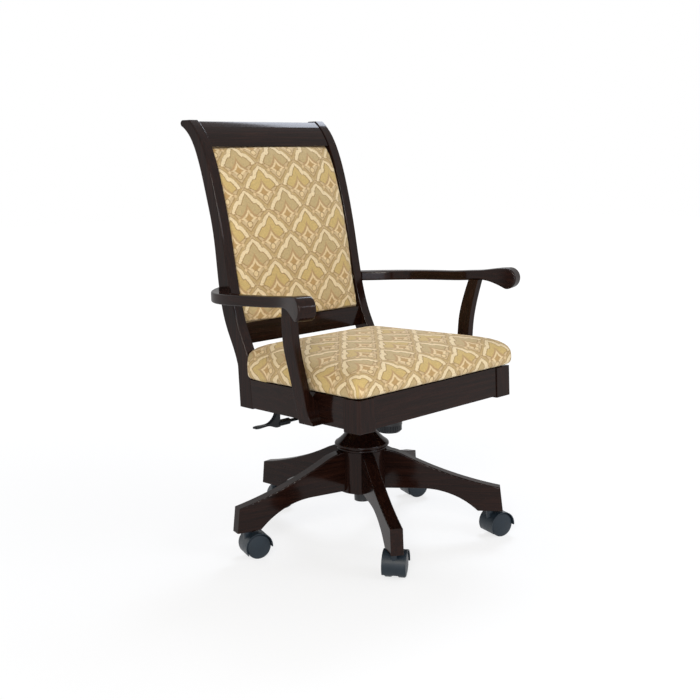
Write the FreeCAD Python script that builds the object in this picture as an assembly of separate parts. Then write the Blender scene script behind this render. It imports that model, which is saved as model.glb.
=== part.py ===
import FreeCAD, Part
import math
import os

# Wooden desk chair on a five-legged swivel base, with an upholstered seat and back.
# Millimetres and degrees. The origin is on the floor under the column's axis, the front
# faces -Y, and the sitter's left is +X.

# Base
leg_count = 5
base_turn = -32.94
caster_height = 68.0
leg_thickness = 30.0
leg_reach = 351.0
leg_tip_height = 60.0
leg_tip_lean = 7.0
leg_bend_reach = 105.0
leg_bend_drop = 13.0
leg_foot_length = 63.0
leg_belly_reach = 150.0
leg_housing = 10.0
hub_radius = 60.0
hub_height = 100.0
hub_floor = 123.0
hub_drop = 4.0
stem_inset = 31.0

# Bolts that hold the legs to the hub
leg_bolt_length = 62.0
leg_bolt_radius = 4.0
leg_bolt_head_radius = 7.0
leg_bolt_head_height = 5.0
leg_bolt_start = 32.0
leg_bolt_spread = 44.0

# Turned cap on the hub
cap_bead_radius = 62.5
cap_bead_height = 8.0
cap_ring_radius = 68.0
cap_ring_height = 11.0
cap_dome_radius = 64.0
cap_dome_height = 26.0
cap_dome_hollow = 1.0
cap_neck_radius = 38.0
cap_neck_height = 7.0
cap_groove = 3.5

# Gas column
tube_radius = 25.0
tube_foot_radius = 20.5
tube_wall = 2.0
tube_drop = 35.0
tube_stand = 4.0
tube_floor_wall = 3.0
guide_length = 78.0
cylinder_radius = 14.0
cylinder_wall = 2.0
cylinder_cap = 10.0
cylinder_taper = 0.7
cylinder_crown = 34.0
cylinder_proud = 1.0
cylinder_stand = 6.0
socket_lift = 4.0
socket_height = 28.0
rod_radius = 5.0
rod_tail_radius = 4.0
rod_tail_end = 1.5
piston_height = 9.0
bearing_radius = 13.0
washer_height = 1.6
ball_radius = 1.9
ball_count = 10
clip_height = 1.4
clip_radius = 7.0
clip_groove = 0.8
clip_slot = 5.0
button_radius = 3.5
button_rise = 4.7
button_depth = 9.0

# Casters
wheel_radius = 30.0
wheel_width = 20.5
wheel_dome = 3.5
wheel_edge = 2.0
caster_trail = 20.0
hood_web = 14.0
hood_web_radius = 26.0
hood_gap = 1.3
hood_wall = 2.6
hood_lip_turn = -5.0
hood_front_turn = 212.0
axle_radius = 4.0
stem_radius = 5.5
stem_height = 34.0
stem_depth = 20.0
stem_collar_radius = 9.0
stem_collar_height = 2.0
boss_radius = 9.5
boss_height = 5.0
caster_headings = [33.0, -17.0, -21.0, -24.0, -20.0]

# Seat frame, which slopes down to the back
seat_slope = 2.07
frame_front = 257.0
frame_front_half = 266.0
frame_floor = 356.0
rail_height = 70.0
rail_thickness = 22.0
corner_size = 50.0
corner_proud = 3.0
corner_drop = 4.5
cross_rail_width = 30.0
cross_rail_height = 55.0
rear_rail_setback = 12.0
board_thickness = 12.0
board_inset = 16.0

# Seat cushion
cushion_overhang = 8.0
cushion_height = 84.0
cushion_back = 183.0
cushion_corner = 18.0

# Back
back_half = 228.5
post_thickness = 29.0
post_foot_front = 145.5
post_foot_floor = 339.0
post_height = 696.0
back_sweep = 246.5
crest_height = 66.0
crest_inset = 3.5
back_rail_floor = 490.5
back_rail_height = 50.0
back_rail_set_back = 15.3
back_rail_thickness = 20.0
panel_set_back = 18.0
panel_board = 8.0
pad_crown = 9.0
pad_edge = 3.0
pad_round = 9.0
cover_thickness = 7.0

# Arms
arm_length = 461.0
arm_back = 256.0
arm_thickness = 24.3
arm_floor = 608.0
arm_rise = 15.0
arm_turn = 18.0
scroll_height = 52.0
scroll_reach = 31.0
scroll_y = -179.0
scroll_floor = 603.0
arm_overhang = 38.5

# Arm supports
support_floor = 352.0
support_stand = 32.2
support_lean = 53.0
support_inlet = 4.8
support_thickness = 20.0
support_y = -127.0
support_depth = 34.0
support_foot_depth = 48.0
support_waist_rise = 75.0
support_ease = 2.0

# Tilt mechanism under the seat
pan_floor = 300.0
pan_top = 351.0
pan_sheet = 3.0
pan_half = 45.0
pan_front = 150.0
pan_back = 106.0
pan_step = 321.0
well_radius = 29.0
well_back = 58.0
flange_width = 38.0
opening_front = 46.0
opening_back = 97.0
opening_half = 38.0
pin_y = 35.0
pin_z = 332.0
pin_radius = 5.0
pin_head_radius = 7.5
pin_head_height = 3.0
socket_radius = 21.0
ear_half = 24.0
ear_sheet = 4.0
ear_radius = 11.0
socket_web = 12.0
spring_y = -94.0
spring_plate_z = 352.0
spring_plate_length = 34.0
spring_plate_sheet = 6.0
spring_plate_bore = 9.0
spring_wire = 4.0
spring_radius = 14.0
spring_turns = 4.0
cup_radius = 20.0
cup_height = 7.0
cup_sheet = 3.0
cup_wall = 2.5
knob_radius = 31.0
knob_height = 18.0
knob_ribs = 30
knob_rib_radius = 1.6
knob_chamfer = 5.0
bolt_radius = 5.0
bolt_rise = 29.0
bolt_head_radius = 9.0
bolt_head_height = 6.5
lever_y = 88.0
lever_z = 308.0
lever_radius = 4.0
lever_play = 0.3
lever_seat = 20.0
finger_rise = 13.0
finger_run = 34.0
finger_reach = 6.0
grip_start = 164.0
grip_radius = 8.0
grip_length = 36.0
paddle_reach = 273.0
paddle_width = 12.0
paddle_sheet = 4.0
paddle_rise = 27.0

# One kind of screw holds the mechanism, the supports and the arms
screw_radius = 3.0
screw_length = 45.0
screw_head_radius = 6.0
screw_head_height = 3.5
flange_screw_half = 66.0
foot_screw_rise = 20.0
foot_screw_spread = 18.0
arm_screw_inset = 24.0
arm_screw_spread = 16.0

# Eased edges and clearances
leg_ease = 2.5
rail_ease = 1.5
post_ease = 3.5
arm_ease = 4.0
running = 0.05
seated = 0.15
soft_gap = 0.3
side_play = 0.5
overrun = 30.0

# Outlines as shares of the sizes that they follow
post_front_shares = [(0.033, 0.143), (0.059, 0.183), (0.163, 0.265), (0.287, 0.411), (0.397, 0.617),
                     (0.484, 0.746), (0.604, 0.875), (0.704, 0.942), (0.860, 1.0)]
post_rear_shares = [(0.2065, 0.127), (0.268, 0.196), (0.377, 0.277), (0.471, 0.405), (0.5416, 0.611),
                    (0.636, 0.746), (0.758, 0.879), (0.850, 0.938), (0.984, 0.978)]
post_foot_share = 0.19
post_tip_shares = (0.972, 1.0, 0.989)
arm_inner_shares = [(0.0, 0.091), (0.16, 0.143), (0.335, 0.208), (0.465, 0.284), (0.548, 0.382),
                    (0.576, 0.490), (0.583, 0.620), (0.597, 0.718), (0.632, 0.794), (0.705, 0.90),
                    (0.815, 1.045)]
arm_outer_shares = [(0.0, 0.0), (0.231, 0.039), (0.459, 0.106), (0.645, 0.197), (0.741, 0.299),
                    (0.776, 0.425), (0.776, 0.555), (0.783, 0.664), (0.82, 0.768), (0.93, 0.87),
                    (1.1, 1.015)]
arm_level_shares = [(-0.15, 0.0), (0.27, 0.05), (0.50, 0.40), (0.63, 0.62), (0.72, 0.85), (0.79, 1.0)]
scroll_under_shares = [(0.70, 0.88), (0.30, 0.45)]
scroll_over_shares = [(0.55, 0.45)]
support_rear_shares = [(0.0, 0.0), (0.17, 0.06), (0.44, 0.18), (0.615, 0.265), (0.81, 0.06), (1.0, -0.33)]
support_front_shares = [(0.0, 0.0), (0.053, 0.29), (0.215, 0.44), (0.456, 0.56), (0.58, 0.62), (0.79, 0.50),
                        (1.0, 0.20)]
flare_shares = [(1.0, 1.0), (0.556, 0.76), (0.242, 0.607), (0.0, 0.341)]
paddle_top_shares = [(1.0, 0.0), (0.62, 0.01), (0.38, 0.08), (0.20, 0.42), (0.08, 1.0)]
paddle_low_shares = [(0.0, 1.0), (0.14, 0.94), (0.26, 0.55), (0.38, 0.14), (0.60, 0.01), (1.0, 0.0)]
foot_screw_share = 0.6
scroll_out_share = 0.8517
cushion_level_shares = [(0.0, 0.030), (0.06, 0.012), (0.16, 0.0), (0.42, 0.004), (0.58, 0.028), (0.69, 0.065),
                        (0.77, 0.115), (0.83, 0.18), (0.88, 0.26), (0.93, 0.36), (0.97, 0.48), (1.0, 0.66)]
fine_share = 1e-9
pad_level_shares = [(0.0, 0.0), (0.03, 0.40), (0.10, 0.72), (0.28, 0.94), (0.50, 1.0), (0.72, 0.94),
                    (0.90, 0.72), (0.97, 0.40), (1.0, 0.0)]

# Places that several pieces share
hub_top = hub_floor + hub_height
neck_top = hub_top + cap_bead_height + cap_ring_height + cap_dome_height + cap_neck_height
tube_top = neck_top + tube_stand
tube_bottom = hub_floor - tube_drop
socket_floor = tube_top + socket_lift
socket_top = socket_floor + socket_height
cylinder_top = socket_top + cylinder_proud
cylinder_bore = cylinder_radius - cylinder_wall
bearing_floor = tube_bottom + tube_floor_wall
bearing_top = bearing_floor + 2 * (washer_height + ball_radius)
cylinder_bottom = bearing_top + cylinder_stand
pad_height = caster_height
stem_reach = leg_reach - stem_inset
leg_root = hub_radius - leg_housing
rail_taper = (frame_front_half - corner_proud - back_half) / (post_foot_front + frame_front)
post_inner = back_half - post_thickness
crest_floor = post_foot_floor + post_height - crest_height
support_rail_half = back_half + rail_taper * (post_foot_front - support_y - support_foot_depth / 2)
support_foot_half = support_rail_half + support_stand
support_inner_half = support_rail_half - support_inlet
support_top_half = support_foot_half + support_lean
arm_bow = support_top_half + arm_overhang - back_half
scroll_x = back_half + arm_bow * scroll_out_share
frame_top = frame_floor + rail_height
boss_top = caster_height - stem_collar_height
up = FreeCAD.Vector(0, 0, 1)
across = FreeCAD.Vector(1, 0, 0)
along = FreeCAD.Vector(0, 1, 0)
origin = FreeCAD.Vector(0, 0, 0)
nodes = {}


def at(x, y, z):
    return FreeCAD.Vector(x, y, z)


def box(low, high):
    """A block between two opposite corners."""
    size = high - low
    return Part.makeBox(size.x, size.y, size.z, low)


def rod(radius, start, end):
    """A round bar between two points."""
    way = end - start
    return Part.makeCylinder(radius, way.Length, start, way)


def taper(radius_start, radius_end, start, end):
    """A round bar whose radius changes evenly."""
    way = end - start
    if abs(radius_start - radius_end) < running * running:
        return rod(radius_start, start, end)
    return Part.makeCone(radius_start, radius_end, way.Length, start, way)


def line(start, end):
    return Part.makeLine(start, end)


def arc(start, middle, end):
    return Part.Arc(start, middle, end).toShape()


def sweep(start, heading, end):
    """An arc in the XZ plane that leaves the start at a heading, with its heading at the end."""
    chord = end - start
    toward = math.atan2(chord.z, chord.x)
    half = (heading + toward) / 2
    reach = chord.Length / (2 * math.cos((toward - heading) / 2))
    middle = start + at(math.cos(half), 0, math.sin(half)) * reach
    return arc(start, middle, end), 2 * toward - heading


def curve(points):
    """One smooth curve through the points."""
    spline = Part.BSplineCurve()
    spline.interpolate(points)
    return spline.toShape()


def sheet(edges):
    """The flat face inside a closed run of edges."""
    return Part.Face(Part.Wire(edges))


def polygon(points):
    return Part.Face(Part.makePolygon(points + points[:1]))


def turned(points_and_arcs):
    """A solid of revolution about Z from a closed run of edges in the XZ plane."""
    return sheet(points_and_arcs).revolve(origin, up, 360)


def moved(shape, x=0, y=0, z=0):
    copy = shape.copy()
    copy.translate(at(x, y, z))
    return copy


def spun(shape, degrees):
    """A copy turned about the column's axis."""
    copy = shape.copy()
    copy.rotate(origin, up, degrees)
    return copy


def mirrored(shape):
    """The other side's copy."""
    return shape.mirror(origin, across)


def sloped(shape, share=1):
    """Lays a piece of the seat frame on the seat's slope, or on a share of it."""
    copy = shape.copy()
    copy.rotate(at(0, -frame_front, frame_floor), across, -seat_slope * share)
    return copy


def clean(shape):
    """The one solid of a boolean result, with its split faces joined."""
    return shape.removeSplitter().Solids[0]


def eased(shape, radius, wanted):
    """Rounds the edges that the test picks."""
    return shape.makeFillet(radius, [edge for edge in shape.Edges if wanted(edge)])


def flat_on(edge, axis, place):
    """True where every point of the edge has this coordinate."""
    return all(abs(getattr(vertex.Point, axis) - place) < seated for vertex in edge.Vertexes)


def keep(name, shape):
    nodes[name] = shape


# Legs: each is sawn from a board, housed in the hub and padded down to its caster

def leg_outline():
    """The leg's side view: level at the hub, swept down to the caster in smooth arcs."""
    root_top = at(leg_root, 0, hub_top)
    root_floor = at(leg_root, 0, hub_floor)
    bend = at(leg_bend_reach, 0, hub_top - leg_bend_drop)
    tip = at(leg_reach - leg_tip_lean, 0, pad_height + leg_tip_height)
    toe = at(leg_reach, 0, pad_height)
    heel = at(leg_reach - leg_foot_length, 0, pad_height)
    belly = at(leg_belly_reach, 0, hub_floor)
    shoulder, heading = sweep(root_top, 0, bend)
    back, _ = sweep(bend, heading, tip)
    underside, _ = sweep(belly, 0, heel)
    return [shoulder, back, line(tip, toe), line(toe, heel), underside, line(belly, root_floor),
            line(root_floor, root_top)]


def leg_turns():
    """Each leg's heading about the column, counted from +X."""
    return [base_turn + 360 / leg_count * index - 90 for index in range(leg_count)]


def leg_bolt_heights():
    middle = (hub_top + hub_floor) / 2
    return [middle - leg_bolt_spread / 2, middle + leg_bolt_spread / 2]


def leg_bolt(grown=0):
    """One bolt along +X at height zero, or the larger hole that it passes through."""
    neck = at(leg_bolt_start, 0, 0)
    head = rod(leg_bolt_head_radius + grown, neck - across * leg_bolt_head_height, neck)
    return head.fuse(rod(leg_bolt_radius + grown, neck, neck + across * (leg_bolt_length + grown)))


def make_legs():
    half = leg_thickness / 2
    board = moved(sheet(leg_outline()), y=-half).extrude(along * leg_thickness)
    board = eased(board, leg_ease, lambda edge: (flat_on(edge, "y", half) or flat_on(edge, "y", -half))
                  and not flat_on(edge, "x", leg_root) and not flat_on(edge, "z", pad_height))
    board = board.cut(rod(stem_radius + running, at(stem_reach, 0, pad_height - overrun),
                          at(stem_reach, 0, pad_height + stem_height + seated)))
    for height in leg_bolt_heights():
        board = board.cut(moved(leg_bolt(seated), z=height))
    for index, turn in enumerate(leg_turns()):
        keep(f"leg_{index + 1}", spun(board.Solids[0], turn))


def make_leg_bolts():
    bolts = []
    for turn in leg_turns():
        for height in leg_bolt_heights():
            bolts.append(spun(moved(leg_bolt(), z=height), turn))
    keep("leg_bolts", Part.makeCompound(bolts))


# Hub, cap and gas column, all turned about Z

def tube_radius_at(height):
    """The column tube is parallel above the hub and tapers down through it."""
    if height >= hub_top:
        return tube_radius
    share = (hub_top - height) / (hub_top - tube_bottom)
    return tube_radius - (tube_radius - tube_foot_radius) * share


def tube_core(gap, low, high):
    """The tube's outside, grown by a gap, from below the hub's top up to a height."""
    middle = min(high, hub_top)
    core = taper(tube_radius_at(low) + gap, tube_radius_at(middle) + gap, at(0, 0, low), at(0, 0, middle))
    if high > middle:
        core = core.fuse(rod(tube_radius + gap, at(0, 0, middle), at(0, 0, high)))
    return core


def make_hub():
    half = leg_thickness / 2
    hub = rod(hub_radius, at(0, 0, hub_floor - hub_drop), at(0, 0, hub_top))
    hub = hub.cut(tube_core(seated, tube_bottom, hub_top + overrun))
    housing = box(at(leg_root, -half, hub_floor), at(hub_radius + overrun, half, hub_top + overrun))
    counterbore = rod(leg_bolt_head_radius + seated, origin, across * leg_bolt_start)
    for turn in leg_turns():
        hub = hub.cut(spun(housing, turn))
        for height in leg_bolt_heights():
            hub = hub.cut(spun(moved(leg_bolt(seated).fuse(counterbore), z=height), turn))
    keep("hub_column", clean(hub))


def make_hub_cap():
    bead_top = hub_top + cap_bead_height
    ring_top = bead_top + cap_ring_height
    dome_top = ring_top + cap_dome_height
    waist = cap_bead_radius - cap_groove
    inner = tube_radius + seated
    bead_middle = at(cap_bead_radius, 0, (hub_top + bead_top) / 2)
    bead = arc(at(waist, 0, hub_top), bead_middle, at(waist, 0, bead_top))
    dome_foot = at(cap_dome_radius, 0, ring_top)
    neck_foot = at(cap_neck_radius, 0, dome_top)
    ring = arc(at(waist, 0, bead_top), at(cap_ring_radius, 0, (bead_top + ring_top) / 2), dome_foot)
    dome = arc(dome_foot, (dome_foot + neck_foot) / 2 - (across + up) * cap_dome_hollow, neck_foot)
    keep("hub_cap", turned([line(at(inner, 0, hub_top), at(waist, 0, hub_top)), bead, ring, dome,
                            line(neck_foot, at(cap_neck_radius, 0, neck_top)),
                            line(at(cap_neck_radius, 0, neck_top), at(inner, 0, neck_top)),
                            line(at(inner, 0, neck_top), at(inner, 0, hub_top))]))


def make_column_tube():
    tube = tube_core(0, tube_bottom, tube_top)
    tube = tube.cut(tube_core(-tube_wall, bearing_floor, tube_top + overrun))
    tube = tube.cut(rod(rod_tail_radius + running, at(0, 0, tube_bottom - overrun), at(0, 0, bearing_top)))
    keep("column_tube", clean(tube))
    guide = tube_core(-tube_wall, tube_top - guide_length, tube_top)
    keep("tube_guide", clean(guide.cut(rod(cylinder_radius + running, origin, at(0, 0, tube_top + overrun)))))


def make_bearing():
    """Two washers with balls between them, and the slotted clip under the tube's floor."""
    pieces = []
    tail_hole = rod(rod_tail_radius + running, origin, at(0, 0, tube_top))
    for floor in (bearing_floor, bearing_top - washer_height):
        pieces.append(rod(bearing_radius, at(0, 0, floor), at(0, 0, floor + washer_height)).cut(tail_hole))
    ball_reach = (bearing_radius + rod_tail_radius) / 2
    ball = Part.makeSphere(ball_radius, at(ball_reach, 0, bearing_floor + washer_height + ball_radius))
    pieces += [spun(ball, 360 / ball_count * index) for index in range(ball_count)]
    clip_top = tube_bottom
    groove = rod_tail_radius - clip_groove + running
    clip = rod(clip_radius, at(0, 0, clip_top - clip_height), at(0, 0, clip_top))
    clip = clip.cut(rod(groove, origin, at(0, 0, tube_top)))
    slot = box(at(0, -clip_slot / 2, 0), at(clip_radius + overrun, clip_slot / 2, clip_top))
    pieces.append(clip.cut(slot))
    keep("thrust_bearing", Part.makeCompound(pieces))


def make_gas_rod():
    """The rod that stays down in the tube, with its piston and the clip's groove at its foot."""
    piston_top = cylinder_top - cylinder_crown
    clip_floor = tube_bottom - clip_height
    shaft = rod(rod_tail_radius, at(0, 0, clip_floor - rod_tail_end), at(0, 0, bearing_top))
    groove = rod(rod_radius, at(0, 0, clip_floor - running), at(0, 0, tube_bottom + running))
    shaft = shaft.cut(groove.cut(rod(rod_tail_radius - clip_groove, origin, at(0, 0, tube_top))))
    shaft = shaft.fuse(rod(rod_radius, at(0, 0, bearing_top), at(0, 0, piston_top)))
    piston = rod(cylinder_bore - running, at(0, 0, piston_top - piston_height), at(0, 0, piston_top))
    keep("gas_rod", clean(shaft.fuse(piston)))


def make_gas_cylinder():
    chamber_top = cylinder_top - cylinder_crown + side_play
    button_floor = cylinder_top - button_depth - button_rise
    body = rod(cylinder_radius, at(0, 0, cylinder_bottom), at(0, 0, socket_floor))
    body = body.fuse(taper(cylinder_radius, cylinder_radius - cylinder_taper, at(0, 0, socket_floor),
                           at(0, 0, cylinder_top)))
    body = body.cut(rod(cylinder_bore, at(0, 0, cylinder_bottom + cylinder_cap), at(0, 0, chamber_top)))
    body = body.cut(rod(rod_radius + running, at(0, 0, cylinder_bottom - overrun), at(0, 0, chamber_top)))
    body = body.cut(rod(button_radius + running, at(0, 0, button_floor), at(0, 0, cylinder_top + overrun)))
    keep("gas_cylinder", clean(body))
    button_top = at(0, 0, cylinder_top + button_rise)
    keep("release_button", rod(button_radius, at(0, 0, cylinder_top - button_depth), button_top))


# Casters: a hood on a stem, over two domed wheels that trail behind it

def hood_sector():
    """The wedge, seen along the axle, that the hood covers."""
    points = [at(caster_trail, 0, wheel_radius)]
    for index in range(leg_count + 1):
        turn = math.radians(hood_lip_turn + (hood_front_turn - hood_lip_turn) * index / leg_count)
        points.append(points[0] + at(math.cos(turn), 0, math.sin(turn)) * (wheel_radius + overrun))
    half = hood_web / 2 + wheel_width + overrun
    return moved(polygon(points), y=-half).extrude(along * (2 * half))


def axle_bar(radius, half_width):
    middle = at(caster_trail, 0, wheel_radius)
    return rod(radius, middle - along * half_width, middle + along * half_width)


def caster_hood():
    web_half = hood_web / 2
    outer = wheel_radius + hood_gap + hood_wall
    hood_half = web_half + wheel_width + side_play
    axle_half = web_half + wheel_width - wheel_dome - side_play
    boss_floor = boss_top - boss_height
    shell = axle_bar(outer, hood_half).cut(axle_bar(wheel_radius + hood_gap, hood_half + overrun))
    hood = shell.fuse(axle_bar(outer, web_half)).common(hood_sector())
    hood = hood.fuse(axle_bar(hood_web_radius, web_half)).fuse(axle_bar(axle_radius, axle_half))
    slab = box(at(-boss_radius, -web_half, 0), at(boss_radius, web_half, caster_height))
    hood = hood.fuse(rod(boss_radius, at(0, 0, boss_floor), at(0, 0, boss_top)))
    hood = hood.fuse(rod(boss_radius, at(0, 0, wheel_radius), at(0, 0, boss_floor)).common(slab))
    stem_floor = caster_height - stem_depth - side_play
    return clean(hood.cut(rod(stem_radius + running, at(0, 0, stem_floor), at(0, 0, caster_height))))


def caster_wheel():
    """A wheel about +Z, with its bored side down and its domed side up."""
    rim = wheel_width - wheel_dome
    inner = axle_radius + running
    brink = wheel_radius - wheel_edge
    ball = (brink ** 2 + wheel_dome ** 2) / (2 * wheel_dome)
    dome_middle = at(brink / 2, 0, wheel_width - ball + math.sqrt(ball ** 2 - (brink / 2) ** 2))
    dome = arc(at(brink, 0, rim), dome_middle, at(0, 0, wheel_width))
    return turned([line(at(inner, 0, 0), at(brink, 0, 0)),
                   line(at(brink, 0, 0), at(wheel_radius, 0, wheel_edge)),
                   line(at(wheel_radius, 0, wheel_edge), at(wheel_radius, 0, rim - wheel_edge)),
                   line(at(wheel_radius, 0, rim - wheel_edge), at(brink, 0, rim)), dome,
                   line(at(0, 0, wheel_width), at(0, 0, rim)), line(at(0, 0, rim), at(inner, 0, rim)),
                   line(at(inner, 0, rim), at(inner, 0, 0))])


def make_casters():
    hood = caster_hood()
    wheel = caster_wheel()
    wheel.rotate(origin, across, -90)
    left = moved(wheel, x=caster_trail, y=hood_web / 2 + side_play / 2, z=wheel_radius)
    right = left.mirror(origin, along)
    stem = rod(stem_radius, at(0, 0, caster_height - stem_depth), at(0, 0, pad_height + stem_height))
    stem = stem.fuse(rod(stem_collar_radius, at(0, 0, boss_top + running), at(0, 0, pad_height)))
    stems = []
    for index, turn in enumerate(leg_turns()):
        spot = at(math.cos(math.radians(turn)), math.sin(math.radians(turn)), 0) * stem_reach
        for part_name, piece in (("hood", hood), ("wheel_left", left), ("wheel_right", right)):
            heading = spun(piece, caster_headings[index])
            keep(f"caster_{index + 1}_{part_name}", moved(heading, spot.x, spot.y))
        stems.append(moved(stem, spot.x, spot.y))
    keep("caster_stems", Part.makeCompound(stems))


# Back posts, crest rail, lower rail and the upholstered panel

def post_point(y_share, z_share):
    return at(0, post_foot_front + y_share * back_sweep, post_foot_floor + z_share * post_height)


def post_front():
    return curve([post_point(*share) for share in post_front_shares])


def post_outline():
    """The post's side view: straight foot, swept-back leg and scrolled top."""
    crown_share, tip_share, tip_height_share = post_tip_shares
    rear = [post_point(*share) for share in post_rear_shares]
    foot_front = post_point(0, 0)
    foot_rear = post_point(post_foot_share, 0)
    crown = post_point(*post_front_shares[-1])
    crown_rear = post_point(crown_share, 1)
    tip = post_point(tip_share, tip_height_share)
    return [line(foot_front, post_point(*post_front_shares[0])), post_front(), line(crown, crown_rear),
            arc(crown_rear, tip, rear[-1]), curve(rear[::-1]), line(rear[0], foot_rear),
            line(foot_rear, foot_front)]


def swept(outline, low_x, high_x):
    """A side view pulled out across the chair."""
    return moved(sheet(outline), x=low_x).extrude(across * (high_x - low_x))


def make_post():
    bend = post_point(*post_front_shares[0]).z
    post = swept(post_outline(), post_inner, back_half)
    post = eased(post, post_ease, lambda edge: flat_on(edge, "x", back_half) and edge.BoundBox.ZMax > bend)
    post = eased(post, post_ease / 2,
                 lambda edge: flat_on(edge, "x", post_inner) and edge.BoundBox.ZMax > bend)
    for hole in arm_screws(seated):
        post = post.cut(hole)
    return post.Solids[0]


def make_crest():
    """The crest rail has the posts' side view, set in all round."""
    whole = swept(post_outline(), -post_inner, post_inner)
    reach = post_foot_front + back_sweep
    crest = whole.common(moved(whole, y=crest_inset)).common(moved(whole, y=-crest_inset))
    crest = crest.common(moved(whole, z=-crest_inset))
    return clean(crest.common(box(at(-post_inner, 0, crest_floor),
                                  at(post_inner, reach, post_foot_floor + post_height))))


def height_on(edge, height):
    """The point of a rising curve at this height."""
    low, high = edge.FirstParameter, edge.LastParameter
    while high - low > (edge.LastParameter - edge.FirstParameter) * fine_share:
        middle = (low + high) / 2
        if edge.valueAt(middle).z < height:
            low = middle
        else:
            high = middle
    return edge.valueAt(low)


def panel_band(front_set_back, rear_set_back, low, high):
    """A band of the panel's side view: the posts' front line moved back by two distances."""
    front = post_front()
    steps = len(post_front_shares)
    heights = [low + (high - low) * index / steps for index in range(steps + 1)]
    spine = [height_on(front, height) for height in heights]
    near = [point + along * front_set_back for point in spine]
    far = [point + along * rear_set_back for point in spine]
    return [curve(near), line(near[-1], far[-1]), curve(far[::-1]), line(far[0], near[0])]


def pad_rise(share):
    """How far the pad's face has risen from its edge, from 0 to 1."""
    for before, after in zip(pad_level_shares, pad_level_shares[1:]):
        if share <= after[0]:
            run = (share - before[0]) / (after[0] - before[0])
            return before[1] + (after[1] - before[1]) * run
    return 0


def pad_section(spine, share, low, high, half):
    """The pad's plan at one height: flat at the board, arched at the face."""
    height = low + (high - low) * share
    line_y = height_on(spine, height).y
    edge_y = line_y + pad_edge + pad_round * (1 - pad_rise(share))
    face_y = line_y - (pad_edge + pad_crown) * pad_rise(share) + pad_edge
    rear_y = line_y + panel_set_back - soft_gap
    left = at(half, edge_y, height)
    right = at(-half, edge_y, height)
    return Part.Wire([arc(right, at(0, min(face_y, edge_y - soft_gap), height), left),
                      line(left, at(half, rear_y, height)),
                      line(at(half, rear_y, height), at(-half, rear_y, height)),
                      line(at(-half, rear_y, height), right)])


def make_back_panel():
    low = back_rail_floor + back_rail_height
    board_rear = panel_set_back + panel_board
    board = swept(panel_band(panel_set_back, board_rear, low, crest_floor), -post_inner, post_inner)
    keep("back_board", board)
    half = post_inner - soft_gap
    pad_low = low + soft_gap
    pad_high = crest_floor - soft_gap
    spine = post_front()
    sections = [pad_section(spine, share, pad_low, pad_high, half) for share, _ in pad_level_shares]
    keep("back_cushion", Part.makeLoft(sections, True, False))
    cover = panel_band(board_rear + soft_gap, board_rear + soft_gap + cover_thickness, pad_low, pad_high)
    keep("back_cover", swept(cover, -half, half))


def make_lower_rail():
    """The lower rail stands behind the posts' front line."""
    top = back_rail_floor + back_rail_height
    front = height_on(post_front(), (back_rail_floor + top) / 2).y + back_rail_set_back
    keep("lower_back_rail", box(at(-post_inner, front, back_rail_floor),
                                at(post_inner, front + back_rail_thickness, top)))


def make_back():
    post = make_post()
    keep("back_post_left", post)
    keep("back_post_right", mirrored(post))
    keep("crest_rail", make_crest())
    make_lower_rail()
    make_back_panel()


# Seat frame

def side_rail_half(y):
    """The side rail's outer face, which tapers in towards the back posts."""
    return back_half + rail_taper * (post_foot_front - y)


def side_block(reach_in, reach_out, low, high):
    """A block along the left side rail's outer face, laid on the seat's slope."""
    front = -frame_front + corner_size
    rear = post_foot_front + overrun
    front_half = side_rail_half(front)
    rear_half = side_rail_half(rear)
    plan = polygon([at(front_half + reach_out, front, low), at(rear_half + reach_out, rear, low),
                    at(rear_half + reach_in, rear, low), at(front_half + reach_in, front, low)])
    return sloped(plan.extrude(up * (high - low)))


def make_side_rail():
    rail = side_block(-rail_thickness, 0, frame_floor, frame_top)
    rail = rail.cut(swept(post_outline(), post_inner - overrun, back_half + overrun))
    for hole in foot_screws(seated):
        rail = rail.cut(hole)
    return clean(rail)


def make_corner():
    outer = frame_front_half
    block = box(at(outer - corner_size, -frame_front, frame_floor - corner_drop),
                at(outer, -frame_front + corner_size, frame_top))
    return sloped(eased(block, rail_ease, lambda edge: flat_on(edge, "y", -frame_front)
                        or (flat_on(edge, "x", outer) and flat_on(edge, "z", frame_floor - corner_drop))))


def make_cross_rails():
    """Two level rails between the side rails, which carry the mechanism."""
    trim = side_block(-rail_thickness, overrun, frame_floor - overrun, frame_top + overrun)
    rails = []
    for front in (-pan_front, pan_back - cross_rail_width):
        reach = side_rail_half(front)
        bar = box(at(-reach, front, pan_top),
                  at(reach, front + cross_rail_width, pan_top + cross_rail_height))
        bar = bar.cut(trim).cut(mirrored(trim))
        for hole in flange_screws(seated):
            bar = bar.cut(hole)
        rails.append(clean(bar))
    keep("cross_rails", Part.makeCompound(rails))


def board_block(grown, low, high):
    """The seat board's plan, grown all round, between two heights on the slope."""
    front = -frame_front + board_inset - grown
    rear = post_foot_front - side_play
    front_half = side_rail_half(front) - board_inset + grown
    rear_half = side_rail_half(rear) - board_inset + grown
    plan = polygon([at(-front_half, front, low), at(front_half, front, low), at(rear_half, rear + grown, low),
                    at(-rear_half, rear + grown, low)])
    return sloped(plan.extrude(up * (high - low)))


def make_frame():
    rail = make_side_rail()
    corner = make_corner()
    inner_half = frame_front_half - corner_size
    front_face = -frame_front + corner_proud
    rear_face = post_foot_front + rear_rail_setback
    keep("side_rail_left", rail)
    keep("side_rail_right", mirrored(rail))
    keep("front_post_left", corner)
    keep("front_post_right", mirrored(corner))
    keep("front_rail", sloped(box(at(-inner_half, front_face, frame_floor),
                                  at(inner_half, front_face + rail_thickness, frame_top))))
    keep("rear_rail", sloped(box(at(-post_inner, rear_face, frame_floor),
                                 at(post_inner, rear_face + rail_thickness, frame_top))))
    make_cross_rails()
    keep("seat_board", board_block(0, frame_top, frame_top + board_thickness))


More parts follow.
